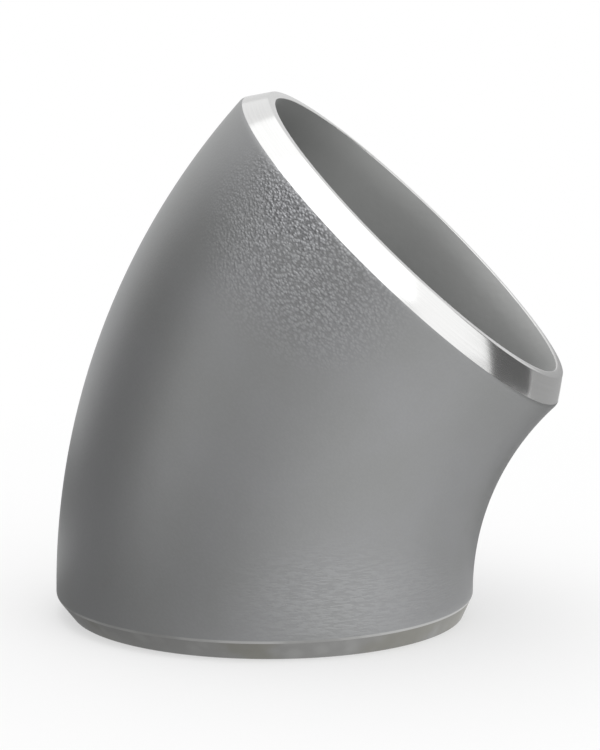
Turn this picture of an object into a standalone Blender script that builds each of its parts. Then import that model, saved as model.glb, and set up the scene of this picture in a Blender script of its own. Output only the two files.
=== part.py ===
"""Forty-five degree butt-weld elbow: one piece of stainless steel tube, bent through 45 degrees,
with a short straight collar, a machined weld bevel and a flat root face at each end.

The elbow stands on its lower end. The bend lies in the XZ plane and leans towards +X, so the outside
of the bend faces -X at the bottom and the inside of the bend faces +X.
"""

import math

import bmesh
import bpy
from mathutils import Matrix, Vector

# Driving sizes, in metres and degrees
OUTER_DIAMETER = 0.0603
WALL = 0.0036
BEND_ANGLE = 45.0
# Radius of the tube's centre line through the bend
BEND_RADIUS = 0.0675
# Plain straight tube between the bend and the bevel, at each end
COLLAR_LENGTH = 0.0008
# Weld preparation: the bevel's length along the tube, and the flat ring it leaves round the bore
BEVEL_LENGTH = 0.0031
ROOT_FACE = 0.0013
# Softened edge where the bevel meets the outside of the tube
BEVEL_EDGE_ROUND = 0.0003

# Fineness of the mesh
SIDES = 96
BEND_STEPS = 14
EDGE_ROUND_STEPS = 2
SHARP_EDGE_ANGLE = 30.0
# Points of the root face and of the bore that fall this close together are one
WELD_DISTANCE = 1e-6

# Sizes that follow from those above
outer_radius = OUTER_DIAMETER / 2
bore_radius = outer_radius - WALL
root_outer_radius = bore_radius + ROOT_FACE
end_length = COLLAR_LENGTH + BEVEL_LENGTH
bend = math.radians(BEND_ANGLE)


def remove_all_objects():
    for obj in list(bpy.data.objects):
        bpy.data.objects.remove(obj)


def steel_material():
    """Pickled, blasted stainless steel: a satin mid grey."""
    material = bpy.data.materials.new("stainless_steel")
    material.use_nodes = True
    shader = material.node_tree.nodes["Principled BSDF"]
    shader.inputs["Base Color"].default_value = (0.31, 0.315, 0.313, 1.0)
    shader.inputs["Metallic"].default_value = 1.0
    shader.inputs["Roughness"].default_value = 0.46
    return material


def end_frames():
    """A frame at the middle of each end of the bend, with its Z axis pointing out of the tube."""
    lower = Matrix.Translation((0, 0, end_length)) @ Matrix.Rotation(math.pi, 4, "Y")
    at_bend_centre = Matrix.Translation((BEND_RADIUS, 0, end_length))
    upper = at_bend_centre @ Matrix.Rotation(bend, 4, "Y") @ Matrix.Translation((-BEND_RADIUS, 0, 0))
    return lower, upper


def bent_wall(bm, radius):
    """Spins one circle of the tube through the bend. Gives its first and its last edge loop."""
    at_start = Matrix.Translation((0, 0, end_length))
    circle = bmesh.ops.create_circle(bm, segments=SIDES, radius=radius, matrix=at_start)
    first = list({edge for vert in circle["verts"] for edge in vert.link_edges})
    spun = bmesh.ops.spin(
        bm,
        geom=circle["verts"] + first,
        cent=(BEND_RADIUS, 0, end_length),
        axis=(0, 1, 0),
        angle=bend,
        steps=BEND_STEPS,
    )
    last = [item for item in spun["geom_last"] if isinstance(item, bmesh.types.BMEdge)]
    return first, last


def pull_out(bm, loop, frame, distance, radius_ratio=1.0):
    """Extrudes an edge loop out of the tube's end, and narrows it about the tube's axis."""
    made = bmesh.ops.extrude_edge_only(bm, edges=loop)["geom"]
    verts = [item for item in made if isinstance(item, bmesh.types.BMVert)]
    outward = frame.to_3x3() @ Vector((0, 0, 1))
    bmesh.ops.translate(bm, verts=verts, vec=outward * distance)
    bmesh.ops.scale(bm, verts=verts, vec=(radius_ratio, radius_ratio, 1), space=frame.inverted())
    moved = set(verts)
    return [edge for edge in {e for v in verts for e in v.link_edges} if moved.issuperset(edge.verts)]


def weld_end(bm, outer_loop, bore_loop, frame):
    """Adds the collar, the bevel, the root face and the end of the bore. Gives the bevel's outer edge."""
    bevel_edge = pull_out(bm, outer_loop, frame, COLLAR_LENGTH)
    root_outside = pull_out(bm, bevel_edge, frame, BEVEL_LENGTH, root_outer_radius / outer_radius)
    pull_out(bm, root_outside, frame, 0, bore_radius / root_outer_radius)
    pull_out(bm, bore_loop, frame, end_length)
    return bevel_edge


def round_edges(bm, edges):
    """Softens the bevel's outer edge, by no more than the collar and the bevel have room for."""
    room = min(COLLAR_LENGTH, BEVEL_LENGTH) / 2
    bmesh.ops.bevel(
        bm,
        geom=edges,
        offset=min(BEVEL_EDGE_ROUND, room),
        segments=EDGE_ROUND_STEPS,
        profile=0.5,
        affect="EDGES",
    )


def middle_of_outline():
    """How far the middle of the elbow's outline lies from the lower end's axis, along X."""
    _, upper = end_frames()
    rims = ((COLLAR_LENGTH, outer_radius), (end_length, root_outer_radius))
    furthest = max((upper @ Vector((radius, 0, out))).x for out, radius in rims)
    return (furthest - outer_radius) / 2


def elbow_body():
    bm = bmesh.new()
    outer_first, outer_last = bent_wall(bm, outer_radius)
    bore_first, bore_last = bent_wall(bm, bore_radius)
    lower, upper = end_frames()
    soft_edges = weld_end(bm, outer_first, bore_first, lower)
    soft_edges += weld_end(bm, outer_last, bore_last, upper)
    bmesh.ops.remove_doubles(bm, verts=bm.verts, dist=WELD_DISTANCE)
    round_edges(bm, soft_edges)
    bmesh.ops.recalc_face_normals(bm, faces=bm.faces)
    mesh = bpy.data.meshes.new("elbow_body")
    bm.to_mesh(mesh)
    bm.free()
    mesh.shade_smooth()
    mesh.set_sharp_from_angle(angle=math.radians(SHARP_EDGE_ANGLE))
    mesh.materials.append(steel_material())
    obj = bpy.data.objects.new("elbow_body", mesh)
    obj.location = (-middle_of_outline(), 0, 0)
    bpy.context.scene.collection.objects.link(obj)


remove_all_objects()
elbow_body()
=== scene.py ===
import math

import bpy
from mathutils import Matrix, Quaternion, Vector


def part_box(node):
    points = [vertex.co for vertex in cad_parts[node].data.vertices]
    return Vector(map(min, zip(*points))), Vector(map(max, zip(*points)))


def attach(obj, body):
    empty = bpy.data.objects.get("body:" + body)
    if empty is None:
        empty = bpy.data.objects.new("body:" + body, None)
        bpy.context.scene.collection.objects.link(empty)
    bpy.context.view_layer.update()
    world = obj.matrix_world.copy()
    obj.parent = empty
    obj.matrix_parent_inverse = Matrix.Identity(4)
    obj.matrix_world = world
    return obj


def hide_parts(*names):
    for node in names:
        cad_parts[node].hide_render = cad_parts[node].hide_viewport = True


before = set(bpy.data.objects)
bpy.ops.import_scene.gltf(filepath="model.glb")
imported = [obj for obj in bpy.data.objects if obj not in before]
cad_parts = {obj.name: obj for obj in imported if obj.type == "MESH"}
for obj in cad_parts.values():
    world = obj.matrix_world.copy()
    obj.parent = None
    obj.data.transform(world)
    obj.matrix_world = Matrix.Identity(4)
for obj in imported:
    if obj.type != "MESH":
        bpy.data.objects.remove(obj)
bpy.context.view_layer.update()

# The elbow body: one length of stainless tube, hot formed round a bend of forty-five degrees
# It was sized at both ends, and pickled and blasted all over. Then each end was faced off square to
# the tube and turned to a weld bevel round a narrow root face.

BEND_RADIUS = 0.0675
BEND_ANGLE = math.radians(45)
WALL = 0.0036
ROOT_FACE = 0.0013
BEVEL_LENGTH = 0.0031
COLLAR_LENGTH = 0.0008
# Softening of the bevel's outer edge, and of the root face's two edges
BEVEL_EDGE_ROUND = 0.0003
ROOT_EDGE_ROUND = 0.00012
ROUND_SEGMENTS = 3
# Fineness of the mesh: round the tube, and along each half of the skin and of the bore
SIDES = 384
SKIN_STEPS = 70
BORE_STEPS = 16
CRISP_ANGLE = math.radians(30)
# Places that lie this close are the same ring, and vertices that lie this close are one
SAME_RING = 1e-5
SAME_POINT = 1e-6

body_low, body_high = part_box("elbow_body")
outer_radius = (body_high.y - body_low.y) / 2
bore_radius = outer_radius - WALL
root_radius = bore_radius + ROOT_FACE
end_length = BEVEL_LENGTH + COLLAR_LENGTH
foot = Vector((body_low.x + outer_radius, 0, body_low.z))
bend_centre = foot + Vector((BEND_RADIUS, 0, end_length))


def pick(obj, wanted):
    """Selects the vertices, in edit mode, whose place is wanted."""
    bpy.ops.mesh.select_all(action="DESELECT")
    bpy.ops.object.mode_set(mode="OBJECT")
    for vert in obj.data.vertices:
        vert.select = wanted(vert.co)
    for edge in obj.data.edges:
        edge.select = all(obj.data.vertices[i].select for i in edge.vertices)
    bpy.ops.object.mode_set(mode="EDIT")


def from_foot(place):
    """Distance from the lower end's axis, and height above its face."""
    return math.hypot(place.x - foot.x, place.y), place.z - foot.z


def draw_up(rise, ratio=1.0):
    """Extrudes the selected ring up the tube, and widens it about the tube's axis."""
    bpy.ops.mesh.extrude_region_move(TRANSFORM_OT_translate={"value": (0, 0, rise)})
    if ratio != 1.0:
        bpy.ops.transform.resize(value=(ratio, ratio, 1), center_override=foot)


def bend_half(steps):
    """Carries the selected ring round the first half of the bend."""
    bpy.ops.mesh.spin(steps=steps, angle=BEND_ANGLE / 2, center=bend_centre, axis=(0, -1, 0))


def is_ring(radius, height):
    """A test for the vertices of one ring of the straight lower end."""
    def test(place):
        away, up = from_foot(place)
        return abs(away - radius) < SAME_RING and abs(up - height) < SAME_RING
    return test


bpy.ops.object.select_all(action="DESELECT")
bpy.ops.mesh.primitive_circle_add(vertices=SIDES, radius=bore_radius, location=foot)
elbow = bpy.context.object
elbow.name = "elbow"
elbow.data.name = "elbow"
bpy.ops.object.transform_apply(location=True)
bpy.ops.object.mode_set(mode="EDIT")
bpy.ops.mesh.select_all(action="SELECT")
draw_up(0, root_radius / bore_radius)
draw_up(BEVEL_LENGTH, outer_radius / root_radius)
draw_up(COLLAR_LENGTH)
bend_half(SKIN_STEPS)
pick(elbow, is_ring(bore_radius, 0))
draw_up(end_length)
bend_half(BORE_STEPS)

for ring_radius, ring_height, softening in (
    (outer_radius, BEVEL_LENGTH, BEVEL_EDGE_ROUND),
    (root_radius, 0, ROOT_EDGE_ROUND),
    (bore_radius, 0, ROOT_EDGE_ROUND),
):
    pick(elbow, is_ring(ring_radius, ring_height))
    bpy.ops.mesh.bevel(offset=softening, segments=ROUND_SEGMENTS, affect="EDGES")
bpy.ops.object.mode_set(mode="OBJECT")

# The upper half of the elbow is the lower half's mirror image in the middle of the bend
bpy.ops.object.empty_add(location=bend_centre, rotation=(0, BEND_ANGLE / 2, 0))
middle = bpy.context.object
bpy.context.view_layer.objects.active = elbow
mirror = elbow.modifiers.new("upper half", "MIRROR")
mirror.use_axis = (False, False, True)
mirror.mirror_object = middle
mirror.merge_threshold = SAME_POINT
bpy.ops.object.select_all(action="DESELECT")
elbow.select_set(True)
bpy.ops.object.modifier_apply(modifier=mirror.name)
bpy.data.objects.remove(middle)

# The lower bevel was cut a little less deep than the upper one and not quite centred, so its root
# face is wider and lies a little to the right
LOWER_ROOT_RATIO = 1.016
LOWER_ROOT_SHIFT = (0.00042, 0.00015, 0)
ROOT_REACH = 0.0004


def in_lower_root(place):
    """A test for the lower root face and its outer edge, without the edge of the bore."""
    away, up = from_foot(place)
    return up < ROOT_REACH and away > bore_radius + ROOT_REACH


bpy.ops.object.mode_set(mode="EDIT")
pick(elbow, in_lower_root)
bpy.ops.transform.resize(value=(LOWER_ROOT_RATIO, LOWER_ROOT_RATIO, 1), center_override=foot)
bpy.ops.transform.translate(value=LOWER_ROOT_SHIFT)
bpy.ops.mesh.select_all(action="SELECT")
bpy.ops.mesh.normals_make_consistent(inside=False)
bpy.ops.object.mode_set(mode="OBJECT")
bpy.ops.object.shade_smooth_by_angle(angle=CRISP_ANGLE)


def tube_place(place):
    """Distance past the nearer end of the bend, distance from the centre line, and turn round it."""
    from_centre = place - bend_centre
    along = math.atan2(from_centre.z, -from_centre.x)
    turned = min(max(along, 0), BEND_ANGLE)
    radial = Vector((-math.cos(turned), 0, math.sin(turned)))
    forward = Vector((math.sin(turned), 0, math.cos(turned)))
    offset = from_centre - radial * BEND_RADIUS
    past = abs(offset.dot(forward)) - BEND_RADIUS * min(turned, BEND_ANGLE - turned)
    side = offset.dot(radial)
    return past, math.hypot(side, offset.y), math.atan2(-offset.y, side)


# The pattern map: once round the tube, and up the wall from the root face, in tenths of a millimetre
TENTHS_OF_MM = 1e4
pattern = elbow.data.uv_layers.new(name="tube")
places = [tube_place(vert.co) for vert in elbow.data.vertices]
for face in elbow.data.polygons:
    rounds = [places[elbow.data.loops[i].vertex_index][2] / math.tau for i in face.loop_indices]
    crosses = max(rounds) - min(rounds) > 0.5
    for i, turn in zip(face.loop_indices, rounds):
        past, away, _ = places[elbow.data.loops[i].vertex_index]
        pattern.data[i].uv = (turn + 1 if crosses and turn < 0 else turn, (away - past) * TENTHS_OF_MM)


# The elbow's five finishes: blasted skin, turned end, dull and shaded end, worn edge with a painted
# highlight, and pickled bore
# The skin is pebbled like orange peel, most strongly right under the upper bevel, with painted shade in
# the pits and painted highlight on the crowns, and the bore is only pickled.
# Both ends were turned bright, and the one that it stands on is rougher, in a darker grey that is partly
# painted shade for the shadowed floor that it reflects.

def add(tree, kind, **values):
    """A node of that kind, with its settings and its unlinked inputs."""
    node = tree.nodes.new(kind)
    for name, value in values.items():
        if name in node.bl_rna.properties:
            setattr(node, name, value)
        else:
            node.inputs[name].default_value = value
    return node


def finish_material(name, base, roughness):
    """A bare metal, with its shader's own colour, metal and roughness set."""
    material = bpy.data.materials.new(name)
    material.use_nodes = True
    shader = material.node_tree.nodes["Principled BSDF"]
    shader.inputs["Base Color"].default_value = (*base, 1)
    shader.inputs["Metallic"].default_value = 1.0
    shader.inputs["Roughness"].default_value = roughness
    return material, shader


def ramp(tree, value, span, ends=(0, 1)):
    """The value, eased from one end to the other as it crosses the span, and held past it."""
    node = add(tree, "ShaderNodeMapRange", interpolation_type="SMOOTHSTEP")
    tree.links.new(value, node.inputs["Value"])
    for socket, number in zip(("From Min", "From Max", "To Min", "To Max"), (*span, *ends)):
        node.inputs[socket].default_value = number
    return node.outputs["Result"]


def joined(tree, operation, first, second):
    """Two values put together. The second may be a number."""
    node = add(tree, "ShaderNodeMath", operation=operation)
    tree.links.new(first, node.inputs[0])
    if isinstance(second, (int, float)):
        node.inputs[1].default_value = second
    else:
        tree.links.new(second, node.inputs[1])
    return node.outputs["Value"]


def patch(tree, middle, half_lengths, lean):
    """A soft patch, 1 in its middle and 0 at its rim, seen along Y and so the same front and back."""
    any_depth = 1000
    soft_from = 0.15
    where = add(tree, "ShaderNodeTexCoord")
    place = add(tree, "ShaderNodeMapping", vector_type="TEXTURE")
    place.inputs["Location"].default_value = (middle[0], 0, middle[1])
    place.inputs["Rotation"].default_value = (0, math.radians(lean), 0)
    place.inputs["Scale"].default_value = (half_lengths[0], any_depth, half_lengths[1])
    tree.links.new(where.outputs["Object"], place.inputs["Vector"])
    length = add(tree, "ShaderNodeVectorMath", operation="LENGTH")
    tree.links.new(place.outputs["Vector"], length.inputs[0])
    return ramp(tree, length.outputs["Value"], (soft_from, 1.0), (1, 0))


def blended(tree, value, dark, light):
    """Two colours, blended by a value from 0 to 1. Either may come from another node."""
    mix = add(tree, "ShaderNodeMix", data_type="RGBA")
    first_colour, second_colour, result_colour = 6, 7, 2
    tree.links.new(value, mix.inputs["Factor"])
    for socket, colour in ((first_colour, dark), (second_colour, light)):
        if isinstance(colour, tuple):
            mix.inputs[socket].default_value = (*colour, 1)
        else:
            tree.links.new(colour, mix.inputs[socket])
    return mix.outputs[result_colour]


def bumped(tree, shader, relief, strength, depth):
    """Gives the shader a relief, whose height of 1 stands for that depth."""
    bump = add(tree, "ShaderNodeBump", Strength=strength, Distance=depth)
    tree.links.new(relief, bump.inputs["Height"])
    tree.links.new(bump.outputs["Normal"], shader.inputs["Normal"])


def peel_group():
    """Orange peel: pebbles longer along the upper bevel than across it, with finer grain, and a mottle."""
    drawn_lean = math.radians(45)
    drawn_ratio = 1.4
    crown_height = 0.5
    grain_height = 0.7
    group = bpy.data.node_groups.new("orange_peel", "ShaderNodeTree")
    group.interface.new_socket("Pebbles per metre", in_out="INPUT", socket_type="NodeSocketFloat")
    group.interface.new_socket("Height", in_out="OUTPUT", socket_type="NodeSocketFloat")
    group.interface.new_socket("Mottle", in_out="OUTPUT", socket_type="NodeSocketFloat")
    given = group.nodes.new("NodeGroupInput")
    result = group.nodes.new("NodeGroupOutput")
    where = add(group, "ShaderNodeTexCoord")
    drawn = add(group, "ShaderNodeMapping", vector_type="TEXTURE")
    drawn.inputs["Rotation"].default_value = (0, drawn_lean, 0)
    drawn.inputs["Scale"].default_value = (drawn_ratio, 1, 1)
    pebbles = add(group, "ShaderNodeTexVoronoi", feature="SMOOTH_F1", Smoothness=0.5)
    grain = add(group, "ShaderNodeTexNoise", Detail=2.0, Roughness=0.55)
    mottle = add(group, "ShaderNodeTexNoise", Scale=70.0, Detail=4.0, Roughness=0.6)
    group.links.new(where.outputs["Object"], drawn.inputs["Vector"])
    group.links.new(where.outputs["Object"], mottle.inputs["Vector"])
    for pattern_node in (pebbles, grain):
        group.links.new(drawn.outputs["Vector"], pattern_node.inputs["Vector"])
        group.links.new(given.outputs["Pebbles per metre"], pattern_node.inputs["Scale"])
    crown = ramp(group, pebbles.outputs["Distance"], (0.0, 0.8), (crown_height, 0))
    height = joined(group, "ADD", crown, joined(group, "MULTIPLY", grain.outputs[0], grain_height))
    group.links.new(height, result.inputs["Height"])
    group.links.new(mottle.outputs[0], result.inputs["Mottle"])
    return group


orange_peel = peel_group()


def peel(tree, pebbles):
    """The orange peel's Height and Mottle, at that many pebbles per metre."""
    node = add(tree, "ShaderNodeGroup", node_tree=orange_peel)
    node.inputs["Pebbles per metre"].default_value = pebbles
    return node.outputs


# The skin: strong peel right under the upper bevel, fading down from it, and faint grain past that. Its
# pebbles carry painted shade in the pits and painted highlight on the crowns.
SKIN_GREYS = (0.317, 0.321, 0.32), (0.333, 0.336, 0.341)
# Painted shade for the pebbles' pits, and painted highlight for their crowns
PIT_AND_CROWN = (0.19, 0.19, 0.20), (0.60, 0.605, 0.63)
PEEL_DEPTH = 0.00025
# The share of that painted shade and highlight in the skin's colour
PEEL_TINT = 0.6
WIDE_PEEL = 0.62
FAINT_GRAIN = 0.03
skin, shader = finish_material("blasted_skin", base=(0.325, 0.328, 0.33), roughness=0.48)
tree = skin.node_tree
grains = peel(tree, 3100.0)
strong = patch(tree, middle=(0.0091, 0.0553), half_lengths=(0.0125, 0.0065), lean=45)
wide = patch(tree, middle=(0.0096, 0.0505), half_lengths=(0.0185, 0.0145), lean=45)
pebbled = joined(tree, "MAXIMUM", strong, joined(tree, "MULTIPLY", wide, WIDE_PEEL))
pebbled = joined(tree, "MAXIMUM", pebbled, FAINT_GRAIN)

# Short flat ripples low on the foot, lighter than the skin
RIPPLES_PER_METRE = (700, 700, 3600)
RIPPLE_GREY = (0.40, 0.405, 0.41)
RIPPLE_HEIGHT = 0.25
where = add(tree, "ShaderNodeTexCoord")
flattened = add(tree, "ShaderNodeMapping")
flattened.inputs["Scale"].default_value = RIPPLES_PER_METRE
ripples = add(tree, "ShaderNodeTexNoise", Scale=1.0, Detail=2.0)
tree.links.new(where.outputs["Object"], flattened.inputs["Vector"])
tree.links.new(flattened.outputs["Vector"], ripples.inputs["Vector"])
faint = patch(tree, middle=(0.012, 0.0075), half_lengths=(0.015, 0.010), lean=0)
rippled = joined(tree, "MULTIPLY", faint, ramp(tree, ripples.outputs[0], (0.38, 0.62), (0, 0.5)))

plain = blended(tree, ramp(tree, grains["Mottle"], (0.3, 0.7)), *SKIN_GREYS)
even = blended(tree, rippled, plain, RIPPLE_GREY)
# The pebbles' colour: painted shade in the pits and painted highlight on the crowns, where the peel is
# strong
stark = blended(tree, ramp(tree, grains["Height"], (0.3, 0.8)), *PIT_AND_CROWN)
tinted = joined(tree, "MULTIPLY", pebbled, PEEL_TINT)
tree.links.new(blended(tree, tinted, even, stark), shader.inputs["Base Color"])
peel_relief = joined(tree, "MULTIPLY", grains["Height"], pebbled)
ripple_relief = joined(tree, "MULTIPLY", rippled, RIPPLE_HEIGHT)
bumped(tree, shader, joined(tree, "ADD", peel_relief, ripple_relief), strength=1.0, depth=PEEL_DEPTH)

# The turned end: fine rings left by the tool stretch every reflection across them
TURNED_BRIGHT = (0.70, 0.70, 0.695)
TURNED_SMUDGE = (0.62, 0.62, 0.61)
TURNED_STREAK = (0.76, 0.76, 0.755)
RING_SCALE = (12, 0.5, 1)
RING_DEPTH = 0.00001
turned, shader = finish_material("turned_end", base=TURNED_BRIGHT, roughness=0.16)
tree = turned.node_tree
shader.inputs["Anisotropic"].default_value = 0.6
shader.inputs["Anisotropic Rotation"].default_value = 0.25
tangent = add(tree, "ShaderNodeTangent", direction_type="UV_MAP", uv_map="tube")
tree.links.new(tangent.outputs["Tangent"], shader.inputs["Tangent"])
grains = peel(tree, 500.0)
round_tube = add(tree, "ShaderNodeUVMap", uv_map="tube")
stretched = add(tree, "ShaderNodeMapping")
stretched.inputs["Scale"].default_value = RING_SCALE
rings = add(tree, "ShaderNodeTexNoise", noise_dimensions="2D", Scale=1.0, Detail=2.0)
tree.links.new(round_tube.outputs["UV"], stretched.inputs["Vector"])
tree.links.new(stretched.outputs["Vector"], rings.inputs["Vector"])
smudges = ramp(tree, grains["Mottle"], (0.5, 0.75), (0, 0.5))
streaks = ramp(tree, rings.outputs[0], (0.35, 0.65), (0, 0.35))
smudged = blended(tree, smudges, TURNED_BRIGHT, TURNED_SMUDGE)
tree.links.new(blended(tree, streaks, smudged, TURNED_STREAK), shader.inputs["Base Color"])
bumped(tree, shader, rings.outputs[0], strength=0.3, depth=RING_DEPTH)

# The end that it stands on: the same cut, rougher, in a darker mottled grey that is partly painted shade
# for the shadowed floor that it reflects, with brown and olive stains
DULLED_GREYS = (0.29, 0.29, 0.285), (0.33, 0.33, 0.325)
STAIN = (0.25, 0.245, 0.215)
dulled, shader = finish_material("dulled_end", base=(0.30, 0.30, 0.29), roughness=0.5)
tree = dulled.node_tree
grains = peel(tree, 500.0)
grey = blended(tree, ramp(tree, grains["Height"], (0.3, 0.9)), *DULLED_GREYS)
stains = ramp(tree, grains["Mottle"], (0.45, 0.65), (0, 0.7))
tree.links.new(blended(tree, stains, grey, STAIN), shader.inputs["Base Color"])

# That end's outer edge: a slightly smoother worn band, whose lighter grey, uneven round it, is a painted
# highlight along the crease
RUBBED_GREYS = (0.33, 0.33, 0.325), (0.48, 0.48, 0.475)
rubbed, shader = finish_material("rubbed_edge", base=(0.48, 0.48, 0.475), roughness=0.4)
tree = rubbed.node_tree
wear = ramp(tree, peel(tree, 900.0)["Mottle"], (0.35, 0.6))
tree.links.new(blended(tree, wear, *RUBBED_GREYS), shader.inputs["Base Color"])

# The bore: a lighter grey than the skin, with painted light that makes it lighter towards the inside of
# the bend, and a fine grain
BORE_GREYS = (0.41, 0.415, 0.41), (0.57, 0.575, 0.57)
BORE_DEPTH = 0.0001
bore, shader = finish_material("pickled_bore", base=(0.52, 0.525, 0.52), roughness=0.55)
tree = bore.node_tree
grains = peel(tree, 900.0)
where = add(tree, "ShaderNodeTexCoord")
split = add(tree, "ShaderNodeSeparateXYZ")
tree.links.new(where.outputs["Object"], split.inputs["Vector"])
# Painted light: the bore grows lighter towards the inside of the bend
inward = ramp(tree, split.outputs["X"], (0.0, 0.022), (0.0, 0.85))
tone = joined(tree, "ADD", inward, ramp(tree, grains["Mottle"], (0.3, 0.7), (0, 0.15)))
tree.links.new(blended(tree, tone, *BORE_GREYS), shader.inputs["Base Color"])
bumped(tree, shader, grains["Height"], strength=0.15, depth=BORE_DEPTH)

# Each face takes the finish of its place, and all that is left is skin
BORE_MARGIN = 0.0001
EDGE_MARGIN = 0.0002
finishes = (skin, turned, bore, dulled, rubbed)
for finish in finishes:
    elbow.data.materials.append(finish)
for face in elbow.data.polygons:
    past, away, _ = tube_place(face.center)
    lower = face.center.z < end_length + foot.z
    if away < bore_radius + BORE_MARGIN and past < end_length - EDGE_MARGIN:
        face.material_index = finishes.index(bore)
    elif past > COLLAR_LENGTH + EDGE_MARGIN:
        face.material_index = finishes.index(dulled if lower else turned)
    elif past > COLLAR_LENGTH - EDGE_MARGIN and lower:
        face.material_index = finishes.index(rubbed)

# The lower bevel's outer edge isn't quite level, and dips towards the front
# It is tilted last, because the pattern map and the finishes go by the level edge.
CREASE_DIP = math.radians(0.9)
DIP_AZIMUTH = math.radians(18)
CREASE_REACH_IN = 0.0006
CREASE_REACH_UP = 0.0005


def in_lower_crease(place):
    """A test for the softened outer edge of the lower bevel."""
    away, up = from_foot(place)
    return away > outer_radius - CREASE_REACH_IN and abs(up - BEVEL_LENGTH) < CREASE_REACH_UP


bpy.ops.object.mode_set(mode="EDIT")
pick(elbow, in_lower_crease)
crease_top = foot + Vector((0, 0, BEVEL_LENGTH + BEVEL_EDGE_ROUND))
for axis, part in (("X", math.cos(DIP_AZIMUTH)), ("Y", math.sin(DIP_AZIMUTH))):
    bpy.ops.transform.rotate(value=-CREASE_DIP * part, orient_axis=axis, center_override=crease_top)
bpy.ops.object.mode_set(mode="OBJECT")

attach(elbow, "root")
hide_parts("elbow_body")

# Floor and backdrop: a plain pale floor under a white surround
# The floor's own brightness keeps it white, and near the elbow half of what shows is still its shadow.

FLOOR_SIZE = 6
FLOOR_GAP = 0.00005
# The glow's share in what shows of the floor: by the elbow and far off, between these distances
GLOW_SHARES = (0.5, 1.0)
GLOW_SPAN = (0.04, 0.35)

bpy.ops.object.select_all(action="DESELECT")
bpy.ops.mesh.primitive_plane_add(size=FLOOR_SIZE, location=(0, 0, body_low.z - FLOOR_GAP))
floor = bpy.context.object
floor.name = "floor"
pale = bpy.data.materials.new("pale_floor")
pale.use_nodes = True
tree = pale.node_tree
tree.nodes.clear()
result = tree.nodes.new("ShaderNodeOutputMaterial")
matt = add(tree, "ShaderNodeBsdfDiffuse", Color=(0.85, 0.85, 0.85, 1))
glow = add(tree, "ShaderNodeEmission", Strength=1.0)
path = tree.nodes.new("ShaderNodeLightPath")
seen = joined(tree, "MAXIMUM", path.outputs["Is Camera Ray"], path.outputs["Is Glossy Ray"])
seen = joined(tree, "MAXIMUM", seen, path.outputs["Is Transmission Ray"])
where = add(tree, "ShaderNodeTexCoord")
from_middle = add(tree, "ShaderNodeVectorMath", operation="LENGTH")
tree.links.new(where.outputs["Object"], from_middle.inputs[0])
share = ramp(tree, from_middle.outputs["Value"], GLOW_SPAN, GLOW_SHARES)
mix = tree.nodes.new("ShaderNodeMixShader")
tree.links.new(joined(tree, "MULTIPLY", seen, share), mix.inputs["Fac"])
tree.links.new(matt.outputs[0], mix.inputs[1])
tree.links.new(glow.outputs[0], mix.inputs[2])
tree.links.new(mix.outputs[0], result.inputs["Surface"])
floor.data.materials.append(pale)

world = bpy.data.worlds.new("white_surround")
bpy.context.scene.world = world
world.use_nodes = True
world.node_tree.nodes["Background"].inputs["Color"].default_value = (1, 1, 1, 1)
world.node_tree.nodes["Background"].inputs["Strength"].default_value = 1.0

# Camera: low and a little round to the right of the plane of the bend

CAMERA_AZIMUTH = math.radians(19.954)
CAMERA_ELEVATION = math.radians(3.511)
CAMERA_ROLL = math.radians(0.407)
CAMERA_DISTANCE = 0.1875
CAMERA_AIM = Vector((-0.00089, 0, 0.03405))
CAMERA_LENS = 62.55
CAMERA_CLIP = 0.01

back = Vector((
    math.sin(CAMERA_AZIMUTH) * math.cos(CAMERA_ELEVATION),
    -math.cos(CAMERA_AZIMUTH) * math.cos(CAMERA_ELEVATION),
    math.sin(CAMERA_ELEVATION),
))
right = Vector((math.cos(CAMERA_AZIMUTH), math.sin(CAMERA_AZIMUTH), 0))
stand = Matrix((right, back.cross(right), back)).transposed().to_4x4()
camera_data = bpy.data.cameras.new("camera")
camera_data.lens = CAMERA_LENS
camera_data.clip_start = CAMERA_CLIP
camera = bpy.data.objects.new("camera", camera_data)
camera.matrix_world = (
    Matrix.Translation(CAMERA_AIM + back * CAMERA_DISTANCE) @ stand @ Matrix.Rotation(CAMERA_ROLL, 4, "Z")
)
bpy.context.scene.collection.objects.link(camera)
bpy.context.scene.camera = camera

# Lights: three large soft boxes, in front above, overhead behind, and low at the right
# Bare metal shows what is round it, so eight cards give the tube its shade and the bevel its bands.
# Directions are degrees round from the camera to its right. Only reflections see the cards.

LIGHT_CENTRE = Vector((0, 0, 0.04))


def toward(azimuth, elevation):
    """A direction, in degrees round from the camera to its right and up from the floor."""
    around = CAMERA_AZIMUTH + math.radians(azimuth)
    up = math.radians(elevation)
    return Vector((math.sin(around) * math.cos(up), -math.cos(around) * math.cos(up), math.sin(up)))


def soft_box(name, azimuth, elevation, distance, width, height, radiance):
    """An area light that faces the elbow, whose face has that radiance, 1 being white."""
    data = bpy.data.lights.new(name, "AREA")
    data.shape = "RECTANGLE"
    data.size = width
    data.size_y = height
    data.energy = radiance * math.pi * width * height
    box = bpy.data.objects.new(name, data)
    way = toward(azimuth, elevation)
    box.location = LIGHT_CENTRE + way * distance
    box.rotation_mode = "QUATERNION"
    box.rotation_quaternion = way.to_track_quat("Z", "Y")
    bpy.context.scene.collection.objects.link(box)


soft_box("front_box", azimuth=24, elevation=54, distance=0.6, width=0.55, height=0.82, radiance=0.65)
soft_box("top_box", azimuth=-150, elevation=78, distance=0.6, width=0.46, height=0.38, radiance=0.4)
soft_box("right_box", azimuth=63, elevation=16, distance=0.6, width=0.42, height=0.46, radiance=0.30)


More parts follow.
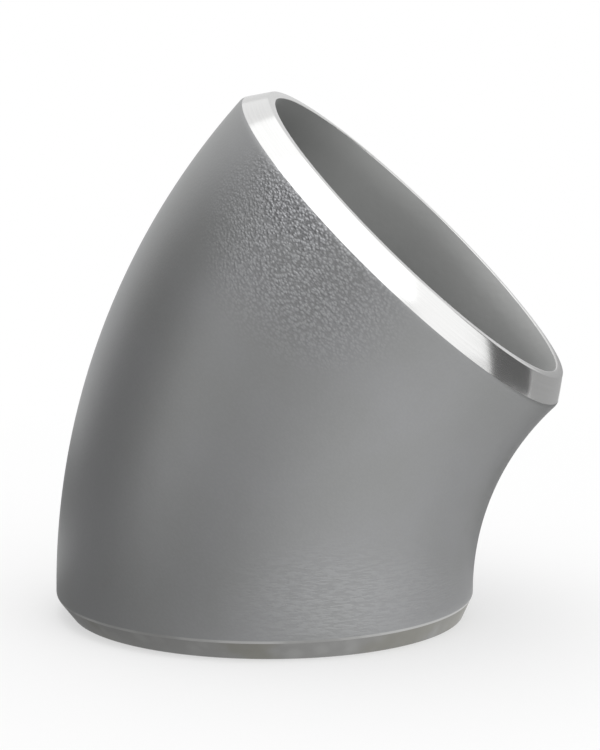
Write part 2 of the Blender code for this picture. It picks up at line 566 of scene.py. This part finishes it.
def card(name, tones, width, height, middle, turn):
    """A flat card that only reflections see. Its left tone eases into its right one across it."""
    easing = (-0.22, 0.12)
    bpy.ops.object.select_all(action="DESELECT")
    bpy.ops.mesh.primitive_plane_add(size=1)
    flat = bpy.context.object
    flat.name = name
    flat.scale = (width, height, 1)
    flat.location = middle
    flat.rotation_mode = "QUATERNION"
    flat.rotation_quaternion = turn
    flat.visible_camera = False
    flat.visible_diffuse = False
    flat.visible_shadow = False
    paint = bpy.data.materials.new(name)
    paint.use_nodes = True
    tree = paint.node_tree
    tree.nodes.clear()
    face = add(tree, "ShaderNodeEmission")
    where = add(tree, "ShaderNodeTexCoord")
    split = add(tree, "ShaderNodeSeparateXYZ")
    tree.links.new(where.outputs["Object"], split.inputs["Vector"])
    tree.links.new(ramp(tree, split.outputs["X"], easing, tones), face.inputs["Strength"])
    out = tree.nodes.new("ShaderNodeOutputMaterial")
    tree.links.new(face.outputs[0], out.inputs["Surface"])
    flat.data.materials.append(paint)


def standing(name, tone, between, height, distance):
    """A card of one tone that stands on the floor between two directions."""
    way = toward(sum(between) / 2, 0)
    width = 2 * distance * math.tan(math.radians(between[1] - between[0]) / 2)
    middle = way * distance + Vector((0, 0, height / 2))
    card(name, (tone, tone), width, height, middle, way.to_track_quat("Z", "Y"))


def lying(name, tones, azimuth, near, far, width):
    """A card that lies just over the floor in one direction, between two distances."""
    over_floor = Vector((0, 0, -0.00003))
    around = Quaternion((0, 0, 1), CAMERA_AZIMUTH + math.radians(azimuth))
    middle = toward(azimuth, 0) * (near + far) / 2 + over_floor
    card(name, tones, width, far - near, middle, around)


standing("camera_side_card", tone=0.5, between=(-52, 22), height=0.30, distance=0.45)
standing("shade_card", tone=0.30, between=(-111, -64), height=0.125, distance=0.11)
standing("low_shade_card", tone=0.30, between=(-172, -112), height=0.022, distance=0.11)
standing("dark_card", tone=0.14, between=(74.5, 103), height=0.12, distance=0.154)
standing("grey_card", tone=0.43, between=(103, 148), height=0.064, distance=0.138)
standing("back_card", tone=0.78, between=(128, 192), height=0.36, distance=0.40)
lying("floor_card", tones=(0.36, 1.0), azimuth=0, near=-0.02, far=0.12, width=0.20)
lying("far_floor_card", tones=(0.32, 0.32), azimuth=112, near=0.028, far=0.14, width=0.10)

bpy.context.scene.view_settings.view_transform = "Standard"
